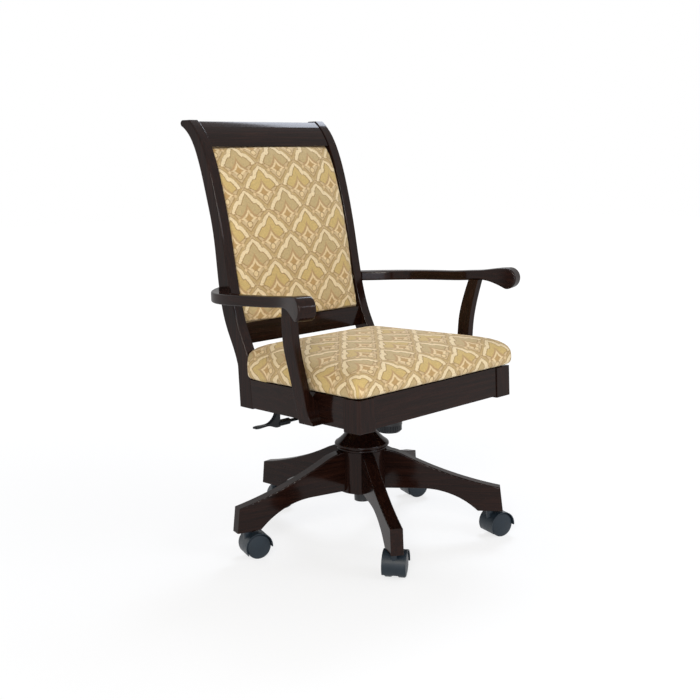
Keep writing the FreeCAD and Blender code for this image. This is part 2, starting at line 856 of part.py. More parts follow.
def cushion_section(level, inset):
    """The cushion's plan at one height: four straight sides and four round corners."""
    front = -frame_front - cushion_overhang + inset
    rear = cushion_back - inset
    front_half = frame_front_half + cushion_overhang - inset
    rear_half = side_rail_half(rear) + cushion_overhang - inset
    corners = [at(-front_half, front, level), at(front_half, front, level), at(rear_half, rear, level),
               at(-rear_half, rear, level)]
    edges = []
    last = corners[-1]
    for index, here in enumerate(corners):
        following = corners[(index + 1) % len(corners)]
        before = (last - here).normalize() * cushion_corner
        after = (following - here).normalize() * cushion_corner
        edges.append(arc(here + before, here + (before + after) * (1 - math.sqrt(1 / 2)), here + after))
        edges.append(line(here + after, following + (here - following).normalize() * cushion_corner))
        last = here
    return Part.Wire(edges)


def make_cushion():
    """The seat cushion: crowned, level on top, with drawn-in sides, notched round the back posts."""
    floor = frame_top + soft_gap
    sections = [sloped(cushion_section(floor + cushion_height * rise, frame_front * inset), 1 - rise)
                for rise, inset in cushion_level_shares]
    cushion = Part.makeLoft(sections, True, True)
    cushion = cushion.cut(board_block(side_play, frame_floor, frame_top + board_thickness + soft_gap))
    post = moved(swept(post_outline(), post_inner - soft_gap, frame_front_half), y=-soft_gap)
    cushion = cushion.cut(post).cut(mirrored(post))
    keep("seat_cushion", cushion.Solids[0])


# Arms and their supports

def arm_edge(shares):
    """Points of the arm's plan, bowed out from the post and run forward."""
    return [at(back_half + reach * arm_bow, arm_back - run * arm_length, 0) for reach, run in shares]


def arm_plan():
    inner = arm_edge(arm_inner_shares)
    outer = arm_edge(arm_outer_shares)
    face = sheet([curve(outer), line(outer[-1], inner[-1]), curve(inner[::-1]), line(inner[0], outer[0])])
    return moved(face, z=scroll_floor - overrun).extrude(up * (scroll_height + 2 * overrun))


def arm_side_view():
    """The arm's side view: nearly level, then swelling into the scroll."""
    under = []
    for run, rise in arm_level_shares:
        under.append(at(0, arm_back - run * arm_length, arm_floor + arm_rise * rise))
    over = [point + up * arm_thickness for point in under]
    under_neck, over_neck = under[-1], over[-1]
    low = at(0, scroll_y, scroll_floor)
    high = at(0, scroll_y, scroll_floor + scroll_height)
    for run, rise in scroll_under_shares:
        under.append(at(0, low.y + (under_neck.y - low.y) * run, low.z + (under_neck.z - low.z) * rise))
    for run, rise in scroll_over_shares:
        over.append(at(0, high.y + (over_neck.y - high.y) * run, high.z + (over_neck.z - high.z) * rise))
    nose = at(0, scroll_y - scroll_reach, scroll_floor + scroll_height / 2)
    under.append(low)
    over.append(high)
    return [curve(under), arc(low, nose, high), curve(over[::-1]), line(over[0], under[0])]


def make_arm():
    way = at(math.cos(math.radians(arm_turn)), math.sin(math.radians(arm_turn)), 0)
    side = moved(sheet(arm_side_view()), x=scroll_x)
    side.translate(way * -(arm_bow + overrun))
    arm = clean(side.extrude(way * (2 * (arm_bow + overrun))).common(arm_plan()))
    arm = eased(arm, arm_ease, lambda edge: not flat_on(edge, "x", back_half) and edge.Length > scroll_height)
    for hole in arm_screws(seated):
        arm = arm.cut(hole)
    return arm.Solids[0]


def support_side():
    """The support's side view, bowed back between its foot and the arm."""
    floor = support_floor
    height = arm_floor + arm_rise + arm_thickness / 2 - floor
    rear_foot = support_y + support_foot_depth
    front = [at(0, support_y + bow * support_depth, floor + rise * height)
             for rise, bow in support_front_shares]
    rear = [at(0, rear_foot + bow * support_depth, floor + rise * height)
            for rise, bow in support_rear_shares]
    outline = [curve(front), line(front[-1], rear[-1]), curve(rear[::-1]), line(rear[0], front[0])]
    return swept(outline, support_inner_half, support_top_half + overrun)


def support_front():
    """The support's front view: leaning out, and flared in to the side rail at its foot."""
    floor = support_floor
    height = arm_floor + arm_rise + arm_thickness / 2 - floor
    lean = (support_top_half - support_foot_half) / height
    neck = support_foot_half + lean * support_waist_rise - support_thickness
    foot = at(support_foot_half, 0, floor)
    foot_inner = at(support_inner_half, 0, floor)
    flare = [foot_inner + across * (neck - support_inner_half) * reach + up * support_waist_rise * rise
             for reach, rise in flare_shares]
    top = at(support_top_half, 0, floor + height)
    top_inner = top - across * support_thickness
    outline = [line(foot, top), line(top, top_inner), line(top_inner, flare[0]), curve(flare),
               line(flare[-1], foot_inner), line(foot_inner, foot)]
    reach = support_foot_depth + support_depth + overrun
    return moved(sheet(outline), y=support_y - reach).extrude(along * (2 * reach))


def make_support(arm):
    support = clean(support_side().common(support_front()))
    support = eased(support, support_ease, lambda edge: edge.BoundBox.ZLength > support_waist_rise
                    and edge.BoundBox.XMax > support_top_half - running)
    under_arm = box(at(0, -frame_front, 0),
                    at(scroll_x + overrun, frame_front, arm_floor + arm_rise + side_play))
    support = support.cut(arm).common(under_arm)
    support = support.cut(side_block(-rail_thickness, 0, frame_floor - overrun, frame_top + overrun))
    for hole in foot_screws(seated):
        support = support.cut(hole)
    return max(support.Solids, key=lambda solid: solid.Volume)


def make_arms():
    arm = make_arm()
    support = make_support(arm)
    keep("arm_left", arm)
    keep("arm_right", mirrored(arm))
    keep("support_left", support)
    keep("support_right", mirrored(support))


# Screws of one kind

def screw(spot, way, grown=0):
    """A screw with the underside of its head on the spot, or the hole that it leaves."""
    head = rod(screw_head_radius + grown, spot - way * screw_head_height, spot)
    return head.fuse(rod(screw_radius + grown, spot, spot + way * (screw_length + grown)))


def flange_screws(grown=0):
    """Up through the pan's flanges into the cross rails."""
    screws = []
    for y in (-pan_front + cross_rail_width / 2, pan_back - cross_rail_width / 2):
        for x in (-flange_screw_half, flange_screw_half):
            screws.append(screw(at(x, y, pan_top - pan_sheet), up, grown))
    return screws


def foot_screws(grown=0):
    """Out through the left side rail into the arm support's foot."""
    way = at(1, rail_taper, 0).normalize()
    middle = support_y + support_foot_depth * foot_screw_share
    screws = []
    for y in (middle - foot_screw_spread / 2, middle + foot_screw_spread / 2):
        spot = at(side_rail_half(y) - rail_thickness, y, frame_floor + foot_screw_rise)
        screws.append(sloped(screw(spot, way, grown)))
    return screws


def arm_screws(grown=0):
    """Out through the left back post into the end of the arm, with sunk heads."""
    middle = arm_back - arm_screw_inset
    screws = []
    for y in (middle - arm_screw_spread / 2, middle + arm_screw_spread / 2):
        spot = at(post_inner + screw_head_height, y, arm_floor + arm_thickness / 2)
        screws.append(screw(spot, across, grown))
    return screws


def make_screws():
    left = foot_screws() + arm_screws()
    keep("seat_screws", Part.makeCompound(flange_screws() + left + [mirrored(piece) for piece in left]))


# Tilt mechanism

def make_socket():
    """A casting: sleeve on the cylinder's taper, two cheeks for the pin, and the spring's plate."""
    front = spring_y - spring_plate_length / 2
    back = spring_y + spring_plate_length / 2
    plate_top = spring_plate_z + spring_plate_sheet
    web_floor = socket_floor
    web_top = socket_floor + socket_web
    ear_back = pin_y + ear_radius
    ear_crown = math.sqrt(1 / 2) * ear_radius
    crown = at(0, pin_y, pin_z + ear_radius)
    crown_back = at(0, pin_y + ear_crown, pin_z + ear_crown)
    outline = [line(at(0, front, spring_plate_z), at(0, front, plate_top)),
               line(at(0, front, plate_top), at(0, back, plate_top)),
               line(at(0, back, plate_top), crown), arc(crown, crown_back, at(0, ear_back, pin_z)),
               line(at(0, ear_back, pin_z), at(0, ear_back, web_floor)),
               line(at(0, ear_back, web_floor), at(0, -socket_radius, web_floor)),
               line(at(0, -socket_radius, web_floor), at(0, back, spring_plate_z)),
               line(at(0, back, spring_plate_z), at(0, front, spring_plate_z))]
    outer = ear_half + ear_sheet
    socket = swept(outline, -outer, -ear_half).fuse(swept(outline, ear_half, outer))
    socket = socket.fuse(box(at(-outer, front, spring_plate_z), at(outer, back, plate_top)))
    socket = socket.fuse(box(at(-outer, -socket_radius, web_floor), at(outer, ear_back, web_top)))
    socket = socket.fuse(rod(socket_radius, at(0, 0, socket_floor), at(0, 0, socket_top)))
    socket = socket.cut(taper(cylinder_radius + running, cylinder_radius - cylinder_taper + running,
                              at(0, 0, socket_floor), at(0, 0, cylinder_top)))
    socket = socket.cut(rod(spring_plate_bore, at(0, spring_y, spring_plate_z - overrun),
                            at(0, spring_y, plate_top + overrun)))
    pin_reach = across * (outer + overrun)
    pin_centre = at(0, pin_y, pin_z)
    socket = socket.cut(rod(pin_radius + running, pin_centre - pin_reach, pin_centre + pin_reach))
    keep("tilt_socket", clean(socket))


def pan_bowl(grown, low, high):
    """The deep part of the pan: a box at the back and a round well under the spring."""
    half = well_radius + grown
    side = pan_half + grown
    bowl = box(at(-side, -well_back - grown, low), at(side, pan_back - pan_sheet + grown, high))
    bowl = bowl.fuse(box(at(-half, spring_y, low), at(half, 0, high)))
    return bowl.fuse(rod(half, at(0, spring_y, low), at(0, spring_y, high)))


def make_pan():
    """The pressed pan under the seat, deep at the back and round the spring, with flanges and holes."""
    outer = pan_half + pan_sheet
    flange = outer + flange_width
    pan = pan_bowl(pan_sheet, pan_floor, pan_step)
    pan = pan.fuse(box(at(-outer, -pan_front, pan_step), at(outer, pan_back, pan_top)))
    pan = pan.fuse(box(at(-flange, -pan_front, pan_top - pan_sheet), at(flange, pan_back, pan_top)))
    pan = pan.cut(pan_bowl(0, pan_floor + pan_sheet, pan_top))
    pan = pan.cut(box(at(-pan_half, -pan_front + pan_sheet, pan_step + pan_sheet),
                      at(pan_half, pan_back - pan_sheet, pan_top + overrun)))
    pan = pan.cut(box(at(-opening_half, -opening_front, pan_floor - overrun),
                      at(opening_half, opening_back, pan_floor + overrun)))
    pan = pan.cut(rod(pin_radius + running, at(-flange, pin_y, pin_z), at(flange, pin_y, pin_z)))
    bolt_low = at(0, spring_y, pan_floor - overrun)
    pan = pan.cut(rod(bolt_radius + running, bolt_low, bolt_low + up * (2 * overrun)))
    pan = pan.cut(rod(lever_radius + lever_play, at(-flange, lever_y, lever_z), at(0, lever_y, lever_z)))
    for hole in flange_screws(seated):
        pan = pan.cut(hole)
    keep("mechanism_pan", clean(pan))
    pin = rod(pin_radius, at(-outer, pin_y, pin_z), at(outer, pin_y, pin_z))
    for side in (-1, 1):
        face = at(side * outer, pin_y, pin_z)
        pin = pin.fuse(rod(pin_head_radius, face, face + across * (side * pin_head_height)))
    keep("tilt_pin", pin)


def biarc(start, start_way, end, end_way):
    """Two arcs that leave start along start_way and reach end along end_way."""
    chord = end - start
    ways = start_way + end_way
    spread = 2 * (1 - start_way.dot(end_way))
    reach = (math.sqrt(chord.dot(ways) ** 2 + spread * chord.dot(chord)) - chord.dot(ways)) / spread
    corners = (start + start_way * reach, end - end_way * reach)
    joint = (corners[0] + corners[1]) / 2
    edges = []
    for low, corner, high in ((start, corners[0], joint), (joint, corners[1], end)):
        middle = (low + high) / 2
        half_chord = (high - low).Length / 2
        half_turn = math.atan2((corner - middle).Length, half_chord)
        sagitta = half_chord * math.tan(half_turn / 2)
        top = middle + (corner - middle).normalize() * sagitta
        edges.append(Part.Arc(low, top, high).toShape())
    return edges


def spring_coil(height, wire_radius):
    """A wire coiled in half turns, standing on z = 0."""
    halves = round(spring_turns * 2)
    rise = height / halves
    climb = along * math.pi * spring_radius + up * rise
    edges = []
    for index in range(halves):
        foot = across * spring_radius + up * rise * index
        head = up * rise * (index + 1) - across * spring_radius
        way_out = at(climb.x, climb.y, climb.z).normalize()
        way_in = at(climb.x, -climb.y, climb.z).normalize()
        if index % 2:
            foot, head = at(-foot.x, 0, foot.z), at(-head.x, 0, head.z)
            way_out, way_in = way_in, way_out
        edges += biarc(foot, way_out, head, way_in)
    start_way = at(climb.x, climb.y, climb.z).normalize()
    ring = Part.Wire(Part.Circle(across * spring_radius, start_way, wire_radius).toShape())
    return Part.Wire(edges).makePipeShell([ring], True, False)


def make_tension():
    """The spring on its cup, and the bolt and knob that draw it up."""
    centre = at(0, spring_y, 0)
    cup_floor = pan_floor + pan_sheet
    spring_floor = cup_floor + cup_sheet
    cup = rod(cup_radius, centre + up * cup_floor, centre + up * (cup_floor + cup_height))
    cup = cup.cut(rod(cup_radius - cup_wall, centre + up * spring_floor, centre + up * spring_plate_z))
    cup = cup.cut(rod(bolt_radius + running, centre, centre + up * spring_floor))
    keep("spring_cup", cup)
    wire_radius = spring_wire / 2
    low = spring_floor + wire_radius + soft_gap
    high = spring_plate_z - wire_radius - soft_gap
    keep("tension_spring", moved(spring_coil(high - low, wire_radius), y=spring_y, z=low))
    knob_top = pan_floor - side_play
    knob_floor = knob_top - knob_height
    head_top = knob_floor + bolt_head_height
    brink = knob_radius - knob_chamfer
    knob = turned([line(at(0, 0, knob_floor), at(brink, 0, knob_floor)),
                   line(at(brink, 0, knob_floor), at(knob_radius, 0, knob_floor + knob_chamfer)),
                   line(at(knob_radius, 0, knob_floor + knob_chamfer), at(knob_radius, 0, knob_top)),
                   line(at(knob_radius, 0, knob_top), at(0, 0, knob_top)),
                   line(at(0, 0, knob_top), at(0, 0, knob_floor))])
    for index in range(knob_ribs):
        groove = rod(knob_rib_radius, at(knob_radius, 0, knob_floor), at(knob_radius, 0, knob_top + overrun))
        knob = knob.cut(spun(groove, 360 / knob_ribs * index))
    knob = knob.cut(rod(bolt_head_radius + seated, origin, at(0, 0, head_top)))
    knob = knob.cut(rod(bolt_radius + seated, origin, at(0, 0, knob_top + overrun)))
    keep("tension_knob", moved(knob, y=spring_y))
    bolt = rod(bolt_head_radius, centre + up * knob_floor, centre + up * head_top)
    shank = rod(bolt_radius, centre + up * head_top, centre + up * (pan_floor + bolt_rise))
    keep("knob_bolt", bolt.fuse(shank))


def make_lever():
    """The height lever: a bent rod whose inner finger lies over the gas column's button."""
    outer_end = at(-grip_start - lever_seat, lever_y, lever_z)
    elbow = at(0, lever_y, lever_z)
    knee = elbow - along * finger_run + up * finger_rise
    finger = at(0, -finger_reach, knee.z)
    bar = rod(lever_radius, outer_end, elbow).fuse(Part.makeSphere(lever_radius, elbow))
    bar = bar.fuse(rod(lever_radius, elbow, knee)).fuse(Part.makeSphere(lever_radius, knee))
    keep("lever_rod", clean(bar.fuse(rod(lever_radius, knee, finger))))
    grip_end = -grip_start - grip_length
    low = lever_z - grip_radius
    reach = paddle_reach + grip_end
    top = [at(grip_end - reach * run, 0, lever_z + paddle_sheet + (paddle_rise - paddle_sheet) * rise)
           for run, rise in paddle_top_shares]
    under = [at(grip_end - reach * run, 0, lever_z - grip_radius * rise) for run, rise in paddle_low_shares]
    crest = at(grip_end + paddle_sheet, 0, top[-1].z)
    heel = at(grip_end + paddle_sheet, 0, low)
    outline = [curve(top), line(top[-1], crest), line(crest, heel), line(heel, under[0]), curve(under),
               line(under[-1], top[0])]
    paddle = moved(sheet(outline), y=lever_y - paddle_width / 2).extrude(along * paddle_width)
    grip = rod(grip_radius, at(-grip_start, lever_y, lever_z), at(grip_end, lever_y, lever_z))
    socket = rod(lever_radius + seated, outer_end - across * seated, elbow)
    keep("lever_handle", clean(paddle.fuse(grip).cut(socket)))


def make_mechanism():
    make_socket()
    make_pan()
    make_tension()
    make_lever()


make_legs()
make_leg_bolts()
make_hub()
make_hub_cap()
make_column_tube()
make_bearing()
make_gas_rod()
make_gas_cylinder()
make_casters()
make_back()
make_frame()
make_cushion()
make_arms()
make_screws()
make_mechanism()

os.makedirs("parts", exist_ok=True)
for name, shape in nodes.items():
    shape.exportStep(os.path.join("parts", f"{name}.step"))
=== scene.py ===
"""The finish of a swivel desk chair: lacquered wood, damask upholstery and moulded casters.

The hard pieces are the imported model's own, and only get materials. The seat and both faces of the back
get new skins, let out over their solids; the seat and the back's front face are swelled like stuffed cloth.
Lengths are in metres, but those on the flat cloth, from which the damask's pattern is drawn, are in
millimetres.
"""

import math

import bmesh
import bpy
from mathutils import Matrix, Vector


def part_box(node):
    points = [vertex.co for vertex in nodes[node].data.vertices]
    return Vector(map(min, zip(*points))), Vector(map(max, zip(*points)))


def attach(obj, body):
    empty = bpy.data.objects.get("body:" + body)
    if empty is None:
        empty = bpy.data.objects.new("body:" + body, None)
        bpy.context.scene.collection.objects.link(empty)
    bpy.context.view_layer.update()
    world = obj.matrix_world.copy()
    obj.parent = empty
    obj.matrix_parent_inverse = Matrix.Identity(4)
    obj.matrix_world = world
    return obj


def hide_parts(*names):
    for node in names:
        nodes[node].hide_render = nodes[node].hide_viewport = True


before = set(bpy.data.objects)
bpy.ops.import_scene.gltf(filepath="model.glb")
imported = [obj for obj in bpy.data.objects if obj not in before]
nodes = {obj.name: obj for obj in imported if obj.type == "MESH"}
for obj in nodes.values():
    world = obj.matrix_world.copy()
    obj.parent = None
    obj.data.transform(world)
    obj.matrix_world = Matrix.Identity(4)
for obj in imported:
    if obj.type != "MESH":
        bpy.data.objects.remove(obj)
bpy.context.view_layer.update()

MM = 0.001
MATH = "ShaderNodeMath"
VECTOR = "ShaderNodeVectorMath"
RANGE = "ShaderNodeMapRange"
NOISE = "ShaderNodeTexNoise"
MIX = "ShaderNodeMix"
BUMP = "ShaderNodeBump"


def place_camera():
    """Stands the camera in front, on the sitter's right, a little above the seat and slightly rolled."""
    azimuth, elevation, roll = (math.radians(angle) for angle in (-44.9, 10.28, -0.88))
    aim, distance = Vector((-0.0191, 0.0176, 0.4715)), 2.678
    back = Vector((math.sin(azimuth) * math.cos(elevation),
                   -math.cos(azimuth) * math.cos(elevation), math.sin(elevation)))
    lens = bpy.data.cameras.new("camera")
    lens.sensor_width = 36
    lens.lens = 55.93
    camera = bpy.data.objects.new("camera", lens)
    bpy.context.scene.collection.objects.link(camera)
    turn = (-back).to_track_quat("-Z", "Y").to_matrix() @ Matrix.Rotation(roll, 3, "Z")
    camera.matrix_world = Matrix.Translation(aim + back * distance) @ turn.to_4x4()
    bpy.context.scene.camera = camera


# Materials

def linear(code):
    """The linear colour of an sRGB hex value."""
    parts = [int(code[place:place + 2], 16) / 255 for place in (1, 3, 5)]
    return [part / 12.92 if part <= 0.04045 else ((part + 0.055) / 1.055) ** 2.4 for part in parts] + [1]


def wire(tree, node, values):
    """Sets or links the node's inputs, which values gives in order, or by name or number."""
    for key, value in values.items() if isinstance(values, dict) else enumerate(values):
        if isinstance(value, bpy.types.NodeSocket):
            tree.links.new(value, node.inputs[key])
        else:
            node.inputs[key].default_value = value


def add(tree, kind, values=(), **settings):
    """Adds a node with its settings, sets or links its inputs, and gives its first output in use."""
    made = tree.nodes.new(kind)
    for name, value in settings.items():
        setattr(made, name, value)
    wire(tree, made, values)
    return next((output for output in made.outputs if output.enabled), None)


def begin(name):
    """An empty material with its shader and output joined."""
    material = bpy.data.materials.new(name)
    material.use_nodes = True
    tree = material.node_tree
    tree.nodes.clear()
    shader = add(tree, "ShaderNodeBsdfPrincipled").node
    add(tree, "ShaderNodeOutputMaterial", {"Surface": shader.outputs[0]})
    return material, tree, shader


def lacquered_wood(name, grain):
    """Stained hardwood under sprayed satin lacquer: brown-black, with red-brown streaks along the grain.

    The eye gets broad soft streaks, fine dark pores along them, and a clear film with soft reflections.
    """
    material, tree, shader = begin(name)
    place = add(tree, "ShaderNodeTexCoord").node.outputs["Object"]
    turn = Vector(grain).rotation_difference(Vector((1, 0, 0))).to_euler()
    along = add(tree, "ShaderNodeMapping", {"Vector": place, "Rotation": turn})
    # Streaks are about 140 mm long and 7 mm wide.
    streaks = add(tree, VECTOR, (along, (7.0, 150.0, 150.0)), operation="MULTIPLY")
    figure = add(tree, NOISE, {"Vector": streaks, "Scale": 1.0, "Detail": 4.0, "Roughness": 0.6,
                               "Distortion": 0.6})
    # Pores are about 22 mm long and 0.9 mm wide, which is coarser than real, so that they show.
    fibres = add(tree, VECTOR, (along, (45.0, 1100.0, 1100.0)), operation="MULTIPLY")
    fibre = add(tree, NOISE, {"Vector": fibres, "Scale": 1.0, "Detail": 2.0, "Roughness": 0.5})
    stain = add(tree, "ShaderNodeValToRGB", (figure,)).node
    dark, light = stain.color_ramp.elements
    dark.position, dark.color = 0.30, linear("#150a07")
    light.position, light.color = 0.72, linear("#2b160f")
    stain.color_ramp.elements.new(0.5).color = linear("#1f0f0a")
    pores = add(tree, RANGE, (fibre, 0.36, 0.52, 0.72, 1.0))
    tinted = add(tree, MIX, {0: 1.0, 6: stain.outputs[0], 7: pores}, data_type="RGBA",
                 blend_type="MULTIPLY")
    height = add(tree, BUMP, {"Strength": 0.06, "Distance": 0.4 * MM, "Height": fibre})
    wire(tree, shader, {"Base Color": tinted, "Roughness": 0.5, "Specular IOR Level": 0.0,
                        "Normal": height, "Coat Weight": 0.36, "Coat Roughness": 0.12,
                        "Coat IOR": 1.5})
    return material


def moulded_nylon(name, colour, roughness):
    """Injection-moulded nylon: even colour with a spark-eroded grain that dulls its shine.

    The grain is drawn 1.1 mm wide, coarser than the real one, and faint clouds 22 mm wide vary the shine.
    """
    material, tree, shader = begin(name)
    place = add(tree, "ShaderNodeTexCoord").node.outputs["Object"]
    grain = add(tree, NOISE, {"Vector": place, "Scale": 900.0, "Detail": 2.0})
    cloud = add(tree, NOISE, {"Vector": place, "Scale": 45.0, "Detail": 3.0})
    scuff = add(tree, RANGE, (cloud, 0.3, 0.7, roughness - 0.06, roughness + 0.08))
    shade = add(tree, RANGE, (cloud, 0.3, 0.7, 0.88, 1.08))
    tinted = add(tree, MIX, {0: 1.0, 6: linear(colour), 7: shade}, data_type="RGBA",
                 blend_type="MULTIPLY")
    height = add(tree, BUMP, {"Strength": 0.12, "Distance": 0.3 * MM, "Height": grain})
    wire(tree, shader, {"Base Color": tinted, "Roughness": scuff, "Normal": height, "IOR": 1.53,
                        "Specular IOR Level": 0.3})
    return material


def coated_steel(name, colour, roughness, metallic):
    """Steel under a thin film of black powder paint, bright zinc or black oxide.

    The eye gets a slight orange peel, its dimples 2 mm wide, and a shine that varies every 33 mm or so.
    """
    material, tree, shader = begin(name)
    place = add(tree, "ShaderNodeTexCoord").node.outputs["Object"]
    peel = add(tree, NOISE, {"Vector": place, "Scale": 500.0, "Detail": 2.0})
    cloud = add(tree, NOISE, {"Vector": place, "Scale": 30.0, "Detail": 4.0})
    dulled = add(tree, RANGE, (cloud, 0.3, 0.7, roughness - 0.07, roughness + 0.09))
    height = add(tree, BUMP, {"Strength": 0.10, "Distance": 0.4 * MM, "Height": peel})
    wire(tree, shader, {"Base Color": linear(colour), "Metallic": metallic, "Roughness": dulled,
                        "Normal": height})
    return material


def birch_plywood(name):
    """Bare plywood of the hidden boards: pale face veneer with faint brown grain, 11 mm wide."""
    material, tree, shader = begin(name)
    place = add(tree, "ShaderNodeTexCoord").node.outputs["Object"]
    streaks = add(tree, VECTOR, (place, (8.0, 90.0, 300.0)), operation="MULTIPLY")
    figure = add(tree, NOISE, {"Vector": streaks, "Scale": 1.0, "Detail": 5.0, "Distortion": 0.8})
    tone = add(tree, RANGE, (figure, 0.3, 0.7, 0.0, 1.0))
    tinted = add(tree, MIX, {0: tone, 6: linear("#a98559"), 7: linear("#cfb184")}, data_type="RGBA")
    wire(tree, shader, {"Base Color": tinted, "Roughness": 0.75})
    return material


# The damask, in millimetres. Each edge of a cream arch runs from its diamond's upper corner, at 0, to the
# side corner, at 1, and lies inside the diamond's own edge by the second number times ARCH_DEPTH.

ARCH_DEPTH = 25.0
ARCH_OUTSIDE = ((0.0, 0.26), (0.06, 0.20), (0.22, 0.10), (0.36, 0.06), (0.46, 0.17), (0.54, 0.03),
                (0.70, 0.01), (0.82, 0.09), (0.92, 0.18), (1.0, 0.30))
ARCH_INSIDE = ((0.0, 0.42), (0.13, 0.45), (0.32, 0.50), (0.45, 0.64), (0.50, 0.64), (0.57, 0.45),
               (0.72, 0.45), (0.82, 0.50), (0.90, 0.44), (1.0, 0.36))
HALF_REPEAT = 61.0


def lattice(tree, drawn):
    """Whether a thread is in a second diamond, and how far aside of and above its diamond's middle it is.

    Every second diamond lies half a repeat across and up from the first ones.
    """
    across, upward = add(tree, "ShaderNodeSeparateXYZ", (drawn,)).node.outputs[:2]
    column = add(tree, MATH, (across, HALF_REPEAT, -HALF_REPEAT), operation="WRAP")
    row = add(tree, MATH, (upward, HALF_REPEAT, -HALF_REPEAT), operation="WRAP")
    column = add(tree, MATH, (column,), operation="ABSOLUTE")
    height = add(tree, MATH, (row,), operation="ABSOLUTE")
    reach = add(tree, MATH, (column, height), operation="ADD")
    second = add(tree, MATH, (reach, HALF_REPEAT), operation="GREATER_THAN")
    shift = add(tree, MATH, (second, HALF_REPEAT), operation="MULTIPLY")
    side = add(tree, MATH, (column, shift), operation="SUBTRACT")
    side = add(tree, MATH, (side,), operation="ABSOLUTE")
    sign = add(tree, MATH, (row,), operation="SIGN")
    drop = add(tree, MATH, (sign, shift), operation="MULTIPLY")
    rise = add(tree, MATH, (row, drop), operation="SUBTRACT")
    return second, side, rise


def arches(tree, side, rise):
    """How far a thread lies inside the arch, the fill within it, and the stripe of the lower edges."""
    slant = 0.7071  # From a sum of two coordinates to a distance across a slanting edge.
    steep = add(tree, MATH, (rise,), operation="ABSOLUTE")
    inside = add(tree, MATH, (side, steep), operation="ADD")
    inside = add(tree, MATH, (inside, -slant, HALF_REPEAT * slant), operation="MULTIPLY_ADD")
    along = add(tree, MATH, (side, rise), operation="SUBTRACT")
    along = add(tree, MATH, (along, 0.5 / HALF_REPEAT, 0.5), operation="MULTIPLY_ADD")
    edges = []
    for points in (ARCH_OUTSIDE, ARCH_INSIDE):
        edge = add(tree, "ShaderNodeFloatCurve", {"Value": along})
        curve = edge.node.mapping.curves[0]
        for where, value in points[1:-1]:
            curve.points.new(where, value)
        curve.points[0].location = points[0]
        curve.points[-1].location = points[-1]
        edge.node.mapping.update()
        edges.append(add(tree, MATH, (edge, ARCH_DEPTH), operation="MULTIPLY"))
    outer, inner = edges

    # The arch ends 4 mm below the diamond's middle. The fill ends on a sill, 26 mm below the middle and
    # higher towards the sides. The stripe is 7 mm wide and begins 1 mm below the middle.
    foot = add(tree, MATH, (rise, 4.0), operation="ADD")
    rim = add(tree, MATH, (inside, outer), operation="SUBTRACT")
    arch = add(tree, MATH, (rim, foot), operation="MINIMUM")
    sill = add(tree, MATH, (side, -0.55, 26.0), operation="MULTIPLY_ADD")
    sill = add(tree, MATH, (rise, sill), operation="ADD")
    fill = add(tree, MATH, (inside, inner), operation="SUBTRACT")
    fill = add(tree, MATH, (fill, sill), operation="MINIMUM")
    below = add(tree, MATH, (rise, -1.0, -1.0), operation="MULTIPLY_ADD")
    stripe = add(tree, MATH, (inside, -1.0, 7.0), operation="MULTIPLY_ADD")
    stripe = add(tree, MATH, (stripe, below), operation="MINIMUM")
    return arch, fill, stripe


def ornaments(tree, side, rise):
    """How far out a thread lies from the star, the bell round it, the curls beside it and the bud below.

    The first two measures are 1 at the star's points, and the others are distances from a middle.
    """
    # The star's middle is 18 mm below the diamond's, and the bell's hem 23 mm below it.
    width, height, below, pinch = 20, 21, 18.0, 0.68
    arms = add(tree, MATH, (side, 1 / width), operation="MULTIPLY")
    arms = add(tree, MATH, (arms, pinch), operation="POWER")
    legs = add(tree, MATH, (rise, below), operation="ADD")
    legs = add(tree, MATH, (legs,), operation="ABSOLUTE")
    legs = add(tree, MATH, (legs, 1 / height), operation="MULTIPLY")
    legs = add(tree, MATH, (legs, pinch), operation="POWER")
    star = add(tree, MATH, (arms, legs), operation="ADD")
    hem = add(tree, MATH, (rise, -0.2, -3.0), operation="MULTIPLY_ADD")
    bell = add(tree, MATH, (star, hem), operation="MAXIMUM")
    spot = add(tree, "ShaderNodeCombineXYZ", (side, rise, 0.0))
    curl, bud = (add(tree, VECTOR, {0: spot, 1: centre}, operation="DISTANCE").node.outputs["Value"]
                 for centre in ((30.0, -21.0, 0.0), (0.0, -33.0, 0.0)))
    return star, bell, curl, bud


